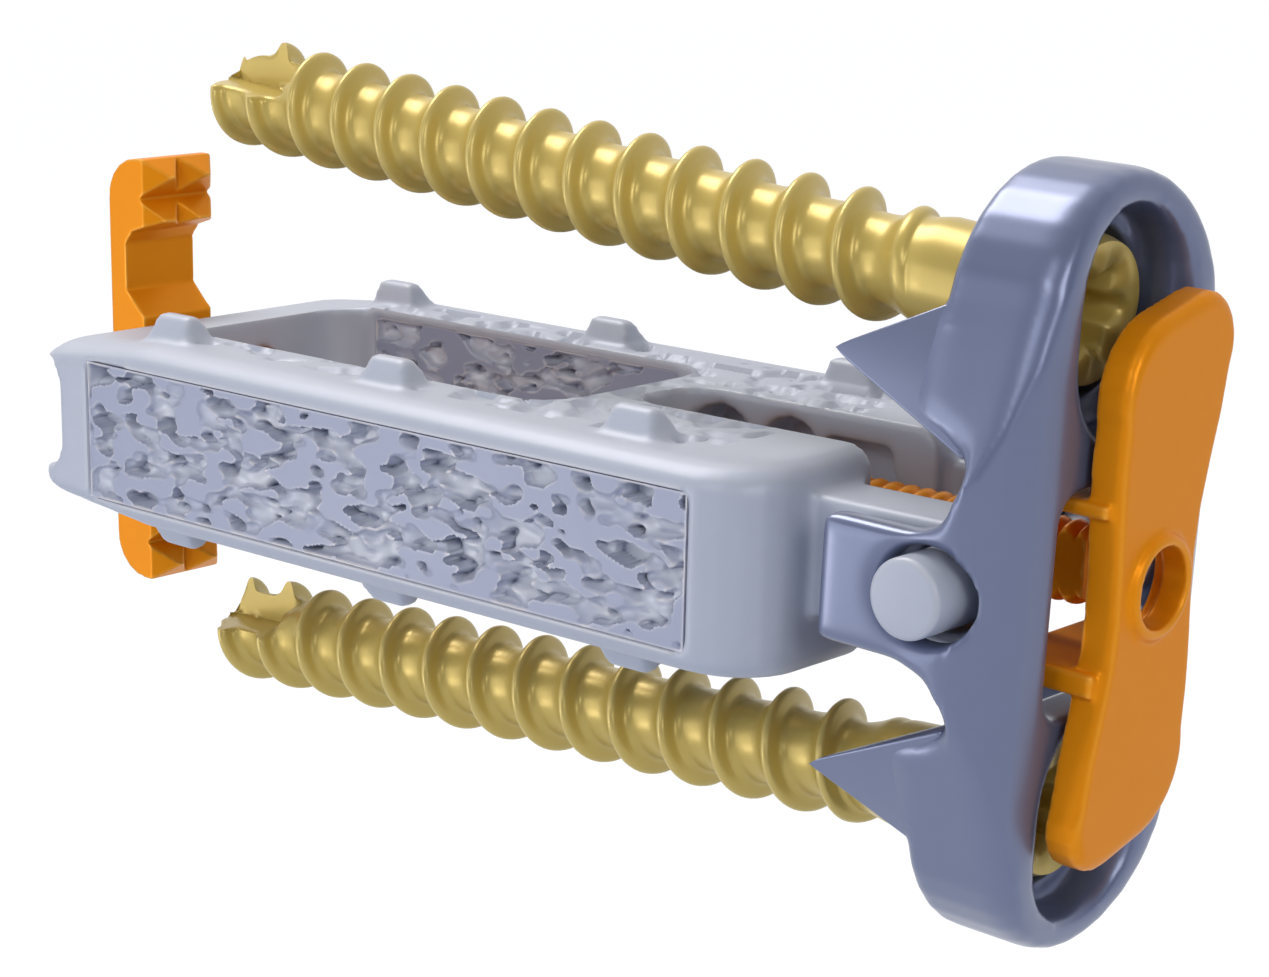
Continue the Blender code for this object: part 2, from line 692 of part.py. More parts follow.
def close_tip(shape, rows):
    """Close the first turn of a thread with a blunt round tip."""
    radius = SCREW_CORE * SCREW_TIP_SHARE * 0.85
    front = SCREW_TIP_X - SCREW_TIP_NOSE
    ring = []
    for step in range(SCREW_STEPS):
        angle = FULL_TURN * step / SCREW_STEPS
        ring.append(shape.verts.new((front, radius * math.cos(angle), radius * math.sin(angle))))
    for step in range(SCREW_STEPS):
        following = (step + 1) % SCREW_STEPS
        shape.faces.new((rows[step][0], rows[step + 1][0], ring[following], ring[step]))
    seam = [rows[SCREW_STEPS][0]] + list(reversed(rows[0]))
    for first, second in zip(seam, seam[1:]):
        shape.faces.new((first, second, ring[0]))
    shape.faces.new(reversed(ring))


def screw_thread():
    """The threaded stem, wound one step of the turn at a time."""
    crest = [(0.0, SCREW_CORE), (0.42, SCREW_CORE), (0.58, SCREW_RADIUS), (0.74, SCREW_RADIUS)]
    length = SCREW_THREAD_END_X - SCREW_TIP_X
    last = round((length / SCREW_PITCH - 1.0) * SCREW_STEPS)
    fade = 2.0 * SCREW_STEPS
    shape = bmesh.new()

    def stem_point(step, share, radius):
        angle = FULL_TURN * step / SCREW_STEPS
        along = SCREW_TIP_X + SCREW_PITCH * (step / SCREW_STEPS + share)
        progress = step + share * SCREW_STEPS
        growth = min(1.0, SCREW_TIP_SHARE + (1.0 - SCREW_TIP_SHARE) * progress / fade)
        run_out = max(0.0, min(1.0, (last + SCREW_STEPS - progress) / SCREW_STEPS))
        wide = SCREW_CORE * growth + (radius - SCREW_CORE) * min(growth, run_out)
        return shape.verts.new((along, wide * math.cos(angle), wide * math.sin(angle)))

    rows = []
    for step in range(last + 1):
        rows.append([stem_point(step, share, radius) for share, radius in crest])
    for step in range(last + 1, last + SCREW_STEPS + 1):
        rows.append([stem_point(step, *crest[0])])
    for step in range(last):
        here = rows[step] + [rows[step + SCREW_STEPS][0]]
        there = rows[step + 1] + [rows[step + 1 + SCREW_STEPS][0]]
        for index in range(len(crest)):
            shape.faces.new((here[index], here[index + 1], there[index + 1], there[index]))
    close_tip(shape, rows)
    end = shape.verts.new((SCREW_THREAD_END_X + 0.8, 0.0, 0.0))
    back = [rows[last + step][0] for step in range(SCREW_STEPS + 1)] + list(reversed(rows[last][1:]))
    for index, vert in enumerate(back):
        shape.faces.new((vert, back[(index + 1) % len(back)], end))
    return shape


def screw_head():
    """The neck and the round head, flat at the front."""
    start = math.acos(HEAD_NECK / HEAD_RADIUS)
    end = math.asin((HEAD_FRONT_X - HEAD_CENTRE_X) / HEAD_RADIUS)
    neck = HEAD_CENTRE_X - HEAD_RADIUS * math.sin(start)
    profile = [(SCREW_THREAD_END_X - SCREW_PITCH, SCREW_CORE * 0.9), (neck - 1.0, SCREW_CORE * 1.02)]
    steps = 8
    for index in range(steps + 1):
        angle = -start + (start + end) * index / steps
        profile.append((HEAD_CENTRE_X + HEAD_RADIUS * math.sin(angle), HEAD_RADIUS * math.cos(angle)))
    return turned(profile, 24)


def recess_cutter():
    """The six-lobed drive recess, wider at its mouth."""
    rings = []
    count = 24
    for along, grow in (
        (HEAD_FRONT_X - RECESS_DEPTH, 0.0),
        (HEAD_FRONT_X - RECESS_ENTRY, 0.0),
        (HEAD_FRONT_X + OVERCUT, RECESS_ENTRY + OVERCUT),
    ):
        ring = []
        for index in range(count):
            angle = FULL_TURN * index / count
            lobe = RECESS_LOBE * (math.cos(6.0 * angle) - 1.0)
            radius = RECESS_RADIUS + lobe + grow
            ring.append((along, radius * math.cos(angle), radius * math.sin(angle)))
        rings.append(ring)
    return stack_rings(rings)


def flute_cutter():
    """The cutting flute that opens the near upper quarter of the tip."""
    end = SCREW_TIP_X + FLUTE_LENGTH
    start = SCREW_TIP_X - 2.0 * OVERCUT
    wide = SCREW_RADIUS + OVERCUT
    slope = FLUTE_FLOOR + OVERCUT
    outline = [(start, FLUTE_FLOOR), (end - slope, FLUTE_FLOOR), (end, wide), (start, wide)]
    return prism(outline, "Y", -wide, FLUTE_FLOOR)


def make_screw(name, up, parent, material):
    screw = add_object(name, lay_on_screw(screw_thread(), up), parent, material, 40)
    join(screw, add_object(f"{name}_head", lay_on_screw(screw_head(), up), parent))
    cut(screw, add_object(f"{name}_recess", lay_on_screw(recess_cutter(), up), parent))
    cut(screw, add_object(f"{name}_flute", lay_on_screw(flute_cutter(), up), parent))
    return screw


def cover_outline():
    """Front outline of the cover: two lobes and a waist, the same when it is turned half round."""
    tight_y, tight_z, tight = COVER_TIGHT_CORNER
    wide_y, wide_z, wide = COVER_WIDE_CORNER
    lobe = arc((tight_y, tight_z), tight, -25, 105, 7)
    lobe += arc((wide_y, wide_z), wide, 105, 195, 7)
    steps = 8
    start_y, start_z = lobe[-1]
    end_y, end_z = -lobe[0][0], -lobe[0][1]
    side = []
    for index in range(1, steps):
        share = index / steps
        along = start_y + (end_y - start_y) * share
        blend = 0.5 - 0.5 * math.cos(FULL_TURN * share)
        side.append((along + (-COVER_WAIST - along) * blend, start_z + (end_z - start_z) * share))
    half = lobe + side
    return half + [(-y, -z) for y, z in half]


def make_cover(parent, material):
    front = COVER_FRONT_X
    back = COVER_FRONT_X - COVER_THICKNESS
    rings = []
    for along, scale in ((back, 1.0), (front - 0.35, 1.0), (front - 0.1, 0.98), (front, 0.95)):
        rings.append([(along - PIN_X, y * scale, z * scale) for y, z in cover_outline()])
    cover = add_object("cover", stack_rings(rings), parent, material, 35)
    rim = front + COVER_BOSS_RISE
    boss = [(front - 0.8 - PIN_X, COVER_BOSS), (rim - 0.2 - PIN_X, COVER_BOSS), (rim - PIN_X, COVER_BOSS - 0.2)]
    join(cover, add_object("cover_boss", turned(boss, 28), parent))
    for up in (-1, 1):
        inner = ARM_HALF_HEIGHT + TONGUE_RISE
        edge = (WINDOW_TOP_Z if up > 0 else -WINDOW_BOTTOM_Z) - GAP
        outer = min(edge, inner + TONGUE_THICKNESS)
        outline = [(TONGUE_BACK_X, outer - 0.5), (TONGUE_BACK_X + 0.6, outer), (front - 0.5, outer)]
        outline += [(front - 0.5, inner), (TONGUE_BACK_X, inner)]
        points = [(x - PIN_X, up * z) for x, z in outline]
        tongue = prism(points, "Y", -TONGUE_HALF_WIDTH, TONGUE_HALF_WIDTH)
        join(cover, add_object(f"cover_tongue_{up}", tongue, parent))
    wide = SHAFT_RADIUS + GAP + 0.2
    drill = [(back - OVERCUT - PIN_X, wide), (front - 1.0 - PIN_X, wide), (front - 0.9 - PIN_X, COVER_HOLE)]
    drill.append((rim + OVERCUT - PIN_X, COVER_HOLE))
    cut(cover, add_object("cover_hole", turned(drill, 28), parent))
    return cover


# Shaft and end anchor

def make_shaft(parent, material):
    flange_start = ANCHOR_OUTER_X + EDGE_ROOM
    flange_end = flange_start + SHAFT_FLANGE_THICKNESS
    body_start = ANCHOR_OUTER_X + ANCHOR_HUB + RUNNING_GAP
    profile = [
        (flange_start, SHAFT_FLANGE),
        (flange_end, SHAFT_FLANGE),
        (flange_end, SHAFT_NECK),
        (body_start, SHAFT_NECK),
        (body_start, SHAFT_RADIUS),
        (-SHAFT_CHAMFER, SHAFT_RADIUS),
        (0.0, SHAFT_RADIUS - SHAFT_CHAMFER),
    ]
    shaft = add_object("anchor_shaft", turned(profile, 24), parent, material, 35)
    for side in (-1, 1):
        low, high = sorted((side * SHAFT_FLAT, side * (SHAFT_RADIUS + OVERCUT)))
        top = SHAFT_RADIUS + OVERCUT
        outline = [(SHAFT_FLAT_START_X, low), (OVERCUT, low), (OVERCUT, high), (SHAFT_FLAT_START_X, high)]
        cut(shaft, add_object(f"shaft_flat_{side}", prism(outline, "Z", -top, top), parent))
    return shaft


def blade_side():
    """Side view of the anchor blade, one arm up and one down."""
    base = ANCHOR_TOOTH_BASE
    inner = ANCHOR_OUTER_X + ANCHOR_THICKNESS
    hub = ANCHOR_OUTER_X + ANCHOR_HUB
    valley = (ANCHOR_TIP_HIGH_Z + ANCHOR_TIP_LOW_Z) / 2.0
    upper = arc((ANCHOR_OUTER_X + ANCHOR_BEND, ANCHOR_REACH - ANCHOR_BEND), ANCHOR_BEND, 180, 90, 5)
    upper.append((ANCHOR_TIP_HIGH_X - base, ANCHOR_REACH))
    upper.append((ANCHOR_TIP_HIGH_X, ANCHOR_TIP_HIGH_Z))
    upper.append((ANCHOR_TIP_LOW_X - base, valley))
    upper.append((ANCHOR_TIP_LOW_X, ANCHOR_TIP_LOW_Z))
    upper.append((inner + base * 0.4, ANCHOR_TIP_LOW_Z - base * 0.5))
    upper.append((inner, ANCHOR_TIP_LOW_Z - base))
    upper += [(inner, ANCHOR_BOSS_RISE), (hub, ANCHOR_BOSS_TOP)]
    lower = [(x, -z) for x, z in reversed(upper)]
    return upper + lower


def blade_plan():
    """Plan of the blade: two ridges that end in points."""
    tip = ANCHOR_TIP_HIGH_X + EDGE_ROOM
    shoulder = ANCHOR_OUTER_X + ANCHOR_HUB + EDGE_ROOM
    back = ANCHOR_OUTER_X - OVERCUT
    return [
        (back, -ANCHOR_HALF_WIDTH),
        (shoulder, -ANCHOR_HALF_WIDTH),
        (tip, -ANCHOR_TOOTH_Y),
        (shoulder, 0.0),
        (tip, ANCHOR_TOOTH_Y),
        (shoulder, ANCHOR_HALF_WIDTH),
        (back, ANCHOR_HALF_WIDTH),
    ]


def make_blade(parent, material):
    wide = ANCHOR_HALF_WIDTH + OVERCUT
    blade = add_object("anchor_blade", prism(blade_side(), "Y", -wide, wide), parent, material, 35)
    top = ANCHOR_REACH + OVERCUT
    keep_common(blade, add_object("blade_plan", prism(blade_plan(), "Z", -top, top), parent))
    seat = ANCHOR_OUTER_X + EDGE_ROOM + SHAFT_FLANGE_THICKNESS + GAP
    profile = [
        (ANCHOR_OUTER_X - OVERCUT, SHAFT_FLANGE + RUNNING_GAP),
        (seat, SHAFT_FLANGE + RUNNING_GAP),
        (seat, SHAFT_NECK + RUNNING_GAP),
        (ANCHOR_OUTER_X + ANCHOR_HUB + OVERCUT, SHAFT_NECK + RUNNING_GAP),
    ]
    cut(blade, add_object("blade_bore", turned(profile, 24), parent))
    return blade


def main():
    clear_scene()
    titanium = make_material("cage_titanium", (0.52, 0.54, 0.58), 0.42, 0.85)
    blue = make_material("plate_blue", (0.17, 0.21, 0.33), 0.32, 0.9)
    gold = make_material("screw_gold", (0.60, 0.47, 0.15), 0.34, 0.85)
    orange = make_material("anodised_orange", (0.70, 0.27, 0.03), 0.36, 0.75)

    divider_x = GRAFT_END_X + DIVIDER / 2.0
    top_z = CAGE_MID_Z + CAGE_HALF_HEIGHT
    shaft_end = add_empty("shaft_end", (-divider_x, 0.0, -top_z))
    plate_axis = add_empty("plate_axis", (PIN_X, 0.0, PIN_Z), shaft_end)
    plate_axis.rotation_euler = (0.0, math.radians(PLATE_PITCH), 0.0)

    make_cage(shaft_end, titanium)
    make_pin("near_pin", -1, shaft_end, titanium)
    make_pin("far_pin", 1, shaft_end, titanium)
    make_plate(plate_axis, blue)
    make_screw("upper_screw", 1, plate_axis, gold)
    make_screw("lower_screw", -1, plate_axis, gold)
    make_cover(plate_axis, orange)
    make_shaft(shaft_end, orange)
    make_blade(shaft_end, orange)


main()
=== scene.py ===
import json
import math

import bmesh
import bpy
import numpy as np
from mathutils import Matrix, Vector


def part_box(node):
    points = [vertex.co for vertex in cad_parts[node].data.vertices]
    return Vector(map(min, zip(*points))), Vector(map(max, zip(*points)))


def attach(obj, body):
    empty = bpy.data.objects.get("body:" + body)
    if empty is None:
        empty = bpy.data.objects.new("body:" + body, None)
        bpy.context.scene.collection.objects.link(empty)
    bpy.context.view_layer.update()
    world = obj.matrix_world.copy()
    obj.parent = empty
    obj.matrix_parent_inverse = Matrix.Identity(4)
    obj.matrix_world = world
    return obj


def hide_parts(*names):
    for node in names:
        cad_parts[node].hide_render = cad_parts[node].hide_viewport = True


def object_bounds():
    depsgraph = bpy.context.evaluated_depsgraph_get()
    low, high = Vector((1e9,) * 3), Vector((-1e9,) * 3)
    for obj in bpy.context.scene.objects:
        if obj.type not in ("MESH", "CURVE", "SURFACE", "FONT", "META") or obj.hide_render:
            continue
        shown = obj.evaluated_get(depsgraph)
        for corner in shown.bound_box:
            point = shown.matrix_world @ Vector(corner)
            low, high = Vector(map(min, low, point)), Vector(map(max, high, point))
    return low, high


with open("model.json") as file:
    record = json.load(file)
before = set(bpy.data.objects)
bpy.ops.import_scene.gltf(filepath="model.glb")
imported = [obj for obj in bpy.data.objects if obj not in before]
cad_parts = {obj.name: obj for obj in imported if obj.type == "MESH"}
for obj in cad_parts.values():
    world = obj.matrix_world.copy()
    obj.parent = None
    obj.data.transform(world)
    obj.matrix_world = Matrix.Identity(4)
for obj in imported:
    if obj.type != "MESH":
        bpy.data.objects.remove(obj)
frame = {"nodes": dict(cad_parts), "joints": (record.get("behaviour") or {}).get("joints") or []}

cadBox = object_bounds()
mm = 0.001
nodes = frame["nodes"]
joints = {joint["name"]: joint for joint in frame["joints"]}

# Places that every piece shares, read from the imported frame
shaftHigh = Vector(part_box("anchor_shaft")[1])
shaftEnd = Vector((shaftHigh.x, 0.0, joints["blade_turn"]["pos_m"][2]))
pinPlace = Vector(joints["plate_hinge"]["pos_m"])
plateLean = math.radians(1.4)      # how far the plate tips at rest

# The pieces are drawn in millimetres, from the shaft's plate end or from the pins in the tipped plate
fromShaft = Matrix.Translation(shaftEnd) @ Matrix.Scale(mm, 4)
fromPin = Matrix.Translation(pinPlace) @ Matrix.Rotation(plateLean, 4, "Y") @ Matrix.Scale(mm, 4)
pinX = (fromShaft.inverted() @ pinPlace).x

scene = bpy.context.scene
scene.view_settings.view_transform = "Standard"


# Materials

def shaderGroup(name, inputs, outputs):
    group = bpy.data.node_groups.new(name, "ShaderNodeTree")
    for label, kind, value in inputs:
        socket = group.interface.new_socket(label, in_out="INPUT", socket_type=kind)
        socket.default_value = value
    for label, kind in outputs:
        group.interface.new_socket(label, in_out="OUTPUT", socket_type=kind)
    return group


# Link a socket to an input, or set the input to a fixed value
def feed(tree, value, target):
    if isinstance(value, bpy.types.NodeSocket):
        tree.links.new(value, target)
    elif value is not None:
        target.default_value = value


def addMath(tree, operation, first, second=None, third=None, clamp=False):
    node = tree.nodes.new("ShaderNodeMath")
    node.operation = operation
    node.use_clamp = clamp
    for index, value in enumerate((first, second, third)):
        feed(tree, value, node.inputs[index])
    return node.outputs[0]


def addNoise(tree, scale, detail):
    place = tree.nodes.new("ShaderNodeTexCoord")
    node = tree.nodes.new("ShaderNodeTexNoise")
    feed(tree, scale, node.inputs["Scale"])
    feed(tree, detail, node.inputs["Detail"])
    feed(tree, place.outputs["Object"], node.inputs["Vector"])
    return node.outputs["Fac"]


def addMix(tree, share, first, second):
    node = tree.nodes.new("ShaderNodeMix")
    node.data_type = "RGBA"
    feed(tree, share, node.inputs["Factor"])
    feed(tree, first, node.inputs[6])
    feed(tree, second, node.inputs[7])
    return node.outputs[2]


def addMark(tree, name):
    node = tree.nodes.new("ShaderNodeAttribute")
    node.attribute_name = name
    return node.outputs["Fac"]


# Ridge values set the painted highlight on edges; valley values set the painted shade in hollows
grainAndLightLook = {
    "slowScale": 160.0, "speckleScale": 900.0, "slowRoughness": 0.14, "rubbedRoughness": -0.12,
    "ridgeFrom": 0.9, "ridgeGain": 0.3, "valleyFrom": -1.3, "valleyGain": 0.35,
}


# A fine grain, a slow change of tone, a painted highlight on edges that are also rubbed smoother, and
# painted shade in the hollows
def buildGrainAndPaintedLight():
    look = grainAndLightLook
    colour, value = "NodeSocketColor", "NodeSocketFloat"
    group = shaderGroup(
        "grainAndPaintedLight",
        [
            ("Colour", colour, (0.5, 0.5, 0.5, 1.0)), ("Edge", colour, (0.8, 0.8, 0.8, 1.0)),
            ("PaintedShade", colour, (0.2, 0.2, 0.2, 1.0)), ("Drift", value, 0.05), ("HighlightAndRub", value, 0.3),
            ("Depth", value, 0.5), ("Grain", value, 2500.0), ("Roughness", value, 0.4),
        ],
        [("Colour", colour), ("Roughness", value), ("Height", value)],
    )
    source = group.nodes.new("NodeGroupInput").outputs
    result = group.nodes.new("NodeGroupOutput").inputs
    fine = addNoise(group, source["Grain"], 3.0)
    slow = addMath(group, "SUBTRACT", addNoise(group, look["slowScale"], 4.0), 0.5)
    speckle = addMath(group, "SUBTRACT", addNoise(group, look["speckleScale"], 2.0), 0.5)
    shift = addMath(group, "MULTIPLY_ADD", addMath(group, "ADD", slow, speckle), source["Drift"], 1.0)
    tone = group.nodes.new("ShaderNodeVectorMath")
    tone.operation = "SCALE"
    feed(group, source["Colour"], tone.inputs[0])
    feed(group, shift, tone.inputs["Scale"])

    bend = addMark(group, "bend")
    # Where the surface bends outward, the edge colour is mixed in as a painted highlight, and the
    # roughness drops as on rubbed edges
    sharper = addMath(group, "SUBTRACT", bend, look["ridgeFrom"])
    ridge = addMath(group, "MULTIPLY", sharper, look["ridgeGain"], clamp=True)
    highlightAndRubShare = addMath(group, "MULTIPLY", ridge, source["HighlightAndRub"])
    # Where the surface bends inward, the hollow colour is mixed in: painted shade in creases and hollows
    deeper = addMath(group, "SUBTRACT", look["valleyFrom"], bend)
    valley = addMath(group, "MULTIPLY", deeper, look["valleyGain"], clamp=True)
    paintedShadeShare = addMath(group, "MULTIPLY", valley, source["Depth"])
    shaded = addMix(group, paintedShadeShare, tone.outputs[0], source["PaintedShade"])
    feed(group, addMix(group, highlightAndRubShare, shaded, source["Edge"]), result["Colour"])

    rough = addMath(group, "MULTIPLY_ADD", slow, look["slowRoughness"], source["Roughness"])
    rough = addMath(group, "MULTIPLY_ADD", highlightAndRubShare, look["rubbedRoughness"], rough)
    feed(group, rough, result["Roughness"])
    feed(group, fine, result["Height"])
    return group


grainAndPaintedLight = buildGrainAndPaintedLight()
grainHeight = 0.00002      # metres


def satinMetal(name, look):
    material = bpy.data.materials.new(name)
    material.use_nodes = True
    tree = material.node_tree
    shader = tree.nodes["Principled BSDF"]
    feed(tree, look["metallic"], shader.inputs["Metallic"])
    feed(tree, look["specular"], shader.inputs["Specular IOR Level"])
    feed(tree, look["coat"], shader.inputs["Coat Weight"])
    feed(tree, look["coatRoughness"], shader.inputs["Coat Roughness"])
    grainAndLight = tree.nodes.new("ShaderNodeGroup")
    grainAndLight.node_tree = grainAndPaintedLight
    # The edge colour is a painted highlight, and the hollow colour is painted shade
    for label in ("Colour", "Edge", "PaintedShade"):
        feed(tree, (*look[label.lower()], 1.0), grainAndLight.inputs[label])
    for label in ("Drift", "HighlightAndRub", "Depth", "Roughness"):
        feed(tree, look[label.lower()], grainAndLight.inputs[label])
    # The lattice's pores are painted lighter with their depth: painted light that offsets the shade
    # inside them
    if "pit" in look:
        tint = addMix(tree, addMark(tree, "pit"), (*look["colour"], 1.0), (*look["pit"], 1.0))
        feed(tree, tint, grainAndLight.inputs["Colour"])
    bump = tree.nodes.new("ShaderNodeBump")
    feed(tree, look["grainStrength"], bump.inputs["Strength"])
    feed(tree, grainHeight, bump.inputs["Distance"])
    feed(tree, grainAndLight.outputs["Colour"], shader.inputs["Base Color"])
    feed(tree, grainAndLight.outputs["Roughness"], shader.inputs["Roughness"])
    feed(tree, grainAndLight.outputs["Height"], bump.inputs["Height"])
    feed(tree, bump.outputs["Normal"], shader.inputs["Normal"])
    return material


# Each finish has its own colour, an edge colour for the painted highlight, and a hollow colour for
# painted shade
finishes = {
    "cage": satinMetal("blastedTitanium", {
        "colour": (0.43, 0.47, 0.57), "edge": (0.74, 0.70, 0.67), "paintedshade": (0.16, 0.19, 0.33),
        "drift": 0.06, "highlightandrub": 0.35, "depth": 0.35, "metallic": 0.1, "specular": 0.45,
        "roughness": 0.45, "grainStrength": 0.12, "coat": 0.0, "coatRoughness": 0.3,
    }),
    # The lattice's pit colour is painted light for its pores
    "lattice": satinMetal("printedLattice", {
        "colour": (0.31, 0.345, 0.475), "edge": (0.84, 0.80, 0.76), "paintedshade": (0.09, 0.12, 0.27),
        "pit": (0.62, 0.65, 0.73), "drift": 0.06, "highlightandrub": 0.5, "depth": 0.7, "metallic": 0.1,
        "specular": 0.45, "roughness": 0.42, "grainStrength": 0.15, "coat": 0.0, "coatRoughness": 0.3,
    }),
    "plate": satinMetal("blueGreyTitanium", {
        "colour": (0.145, 0.175, 0.295), "edge": (0.42, 0.43, 0.54), "paintedshade": (0.05, 0.065, 0.14),
        "drift": 0.06, "highlightandrub": 0.3, "depth": 0.35, "metallic": 0.45, "specular": 0.5,
        "roughness": 0.32, "grainStrength": 0.05, "coat": 0.3, "coatRoughness": 0.2,
    }),
    "screw": satinMetal("goldTitanium", {
        "colour": (0.56, 0.425, 0.11), "edge": (0.80, 0.70, 0.38), "paintedshade": (0.17, 0.11, 0.02),
        "drift": 0.06, "highlightandrub": 0.35, "depth": 0.6, "metallic": 0.3, "specular": 0.4,
        "roughness": 0.34, "grainStrength": 0.06, "coat": 0.15, "coatRoughness": 0.25,
    }),
    "orange": satinMetal("orangeTitanium", {
        "colour": (0.80, 0.268, 0.003), "edge": (0.95, 0.52, 0.10), "paintedshade": (0.34, 0.10, 0.002),
        "drift": 0.05, "highlightandrub": 0.45, "depth": 0.5, "metallic": 0.3, "specular": 0.12,
        "roughness": 0.38, "grainStrength": 0.05, "coat": 0.0, "coatRoughness": 0.3,
    }),
}
print("materials done")


# Mesh helpers

bendRounds = 2      # how often a bend is averaged with its neighbours
bendLimit = 8


# How far the surface bends at each point, per millimetre: above zero on edges, below in hollows
def markBends(mesh):
    count = len(mesh.vertices)
    places = np.empty(count * 3, dtype=np.float32)
    mesh.vertices.foreach_get("co", places)
    normals = np.empty(count * 3, dtype=np.float32)
    mesh.vertex_normals.foreach_get("vector", normals)
    pairs = np.empty(len(mesh.edges) * 2, dtype=np.int32)
    mesh.edges.foreach_get("vertices", pairs)
    places, normals, pairs = places.reshape(-1, 3) / mm, normals.reshape(-1, 3), pairs.reshape(-1, 2)
    first, second = pairs[:, 0], pairs[:, 1]
    ends = np.concatenate((first, second))
    shares = np.maximum(np.bincount(ends, minlength=count), 1)

    def meanOf(atFirst, atSecond):
        return np.bincount(ends, weights=np.concatenate((atFirst, atSecond)), minlength=count) / shares

    step = places[second] - places[first]
    along = ((normals[second] - normals[first]) * step).sum(axis=1)
    turn = along / np.maximum((step ** 2).sum(axis=1), 1e-6)
    bend = meanOf(turn, turn)
    for _ in range(bendRounds):
        bend = 0.5 * (bend + meanOf(bend[second], bend[first]))
    layer = mesh.attributes.new("bend", "FLOAT", "POINT")
    layer.data.foreach_set("value", np.clip(bend, -bendLimit, bendLimit).astype(np.float32))


def finishPiece(bm, name, body, finish, replaced=(), placing=None, sharp=50):
    if placing is not None:
        bmesh.ops.transform(bm, matrix=placing, verts=bm.verts)
    mesh = bpy.data.meshes.new(name)
    bm.to_mesh(mesh)
    bm.free()
    mesh.shade_smooth()
    markBends(mesh)
    mesh.set_sharp_from_angle(angle=math.radians(sharp))
    piece = bpy.data.objects.new(name, mesh)
    mesh.materials.append(finishes[finish])
    scene.collection.objects.link(piece)
    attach(piece, body)
    if replaced:
        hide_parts(*replaced)
    print(name, "triangles", sum(len(face.vertices) - 2 for face in mesh.polygons))


# A merged copy of a node's triangles, in millimetres
def copyNode(name, placing):
    bm = bmesh.new()
    bm.from_mesh(nodes[name].data)
    bmesh.ops.remove_doubles(bm, verts=bm.verts, dist=0.002 * mm)
    bmesh.ops.transform(bm, matrix=placing.inverted(), verts=bm.verts)
    return bm


# Remesh a closed shape finely, so that its edges can run together as in polishing
def remeshed(bm, voxel):
    mesh = bpy.data.meshes.new("softening")
    bm.to_mesh(mesh)
    bm.free()
    helper = bpy.data.objects.new("softening", mesh)
    scene.collection.objects.link(helper)
    grid = helper.modifiers.new("grid", "REMESH")
    grid.mode = "VOXEL"
    grid.voxel_size = voxel
    evaluated = helper.evaluated_get(bpy.context.evaluated_depsgraph_get())
    result = bmesh.new()
    result.from_mesh(evaluated.to_mesh())
    evaluated.to_mesh_clear()
    bpy.data.objects.remove(helper)
    bpy.data.meshes.remove(mesh)
    return result


def polish(bm, rounds, verts=None):
    chosen = bm.verts[:] if verts is None else verts
    for _ in range(rounds):
        bmesh.ops.smooth_vert(
            bm, verts=chosen, factor=0.5, use_axis_x=True, use_axis_y=True, use_axis_z=True
        )


def polishedCopy(node, placing, look):
    bm = remeshed(copyNode(node, placing), look["voxel"])
    polish(bm, look["polish"])
    return bm


def addTo(bm, other):
    mesh = bpy.data.meshes.new("joined")
    other.to_mesh(mesh)
    other.free()
    bm.from_mesh(mesh)
    bpy.data.meshes.remove(mesh)


mergeWithin = 0.0005      # millimetres


def addLine(bm, places):
    verts = [bm.verts.new(place) for place in places]
    return verts + [bm.edges.new(pair) for pair in zip(verts, verts[1:])]


# Turn a half profile of (along, radius) pairs about the X axis
def spunProfile(points, steps=64):
    bm = bmesh.new()
    bmesh.ops.spin(
        bm, geom=addLine(bm, [(along, 0.0, radius) for along, radius in points]), cent=(0, 0, 0),
        axis=(1, 0, 0), angle=2 * math.pi, steps=steps, use_merge=True,
    )
    bmesh.ops.remove_doubles(bm, verts=bm.verts, dist=mergeWithin)
    bmesh.ops.recalc_face_normals(bm, faces=bm.faces)
    return bm


# Wind one pitch of (along, radius) pairs about X, right-handed, and cut the tube square at both ends
def woundTube(points, pitch, low, high, phase, steps):
    turns = math.ceil((high - low) / pitch) + 3
    bm = bmesh.new()
    start = low - 1.5 * pitch
    bmesh.ops.spin(
        bm, geom=addLine(bm, [(start + along, radius, 0.0) for along, radius in points]), cent=(0, 0, 0),
        axis=(1, 0, 0), dvec=(pitch / steps, 0, 0), angle=2 * math.pi, steps=steps, use_merge=False,
    )
    oneTurn = bm.verts[:] + bm.edges[:] + bm.faces[:]
    for turn in range(1, turns):
        nextTurn = bmesh.ops.duplicate(bm, geom=oneTurn)["geom"]
        moved = [item for item in nextTurn if isinstance(item, bmesh.types.BMVert)]
        bmesh.ops.translate(bm, verts=moved, vec=(turn * pitch, 0, 0))
    bmesh.ops.remove_doubles(bm, verts=bm.verts, dist=mergeWithin)
    bmesh.ops.rotate(bm, verts=bm.verts, matrix=Matrix.Rotation(phase, 3, "X"))
    for place, side in ((low, -1), (high, 1)):
        bmesh.ops.bisect_plane(
            bm, geom=bm.verts[:] + bm.edges[:] + bm.faces[:], dist=0.0001,
            plane_co=(place, 0, 0), plane_no=(side, 0, 0), clear_outer=True,
        )
        rim = [edge for edge in bm.edges if edge.is_boundary and abs(edge.verts[0].co.x - place) < 0.001]
        bmesh.ops.holes_fill(bm, edges=rim)
    bmesh.ops.recalc_face_normals(bm, faces=bm.faces)
    return bm


# Porous titanium: a random field with one pore size, cut by a plane and looked into

foamLook = {
    "spread": 0.45,          # how far the pore sizes scatter
    "spareLayers": 20,       # field behind the deepest layer, so that the front and back differ
    "fineSeed": 100,
    "borderBlend": 0.12,
}


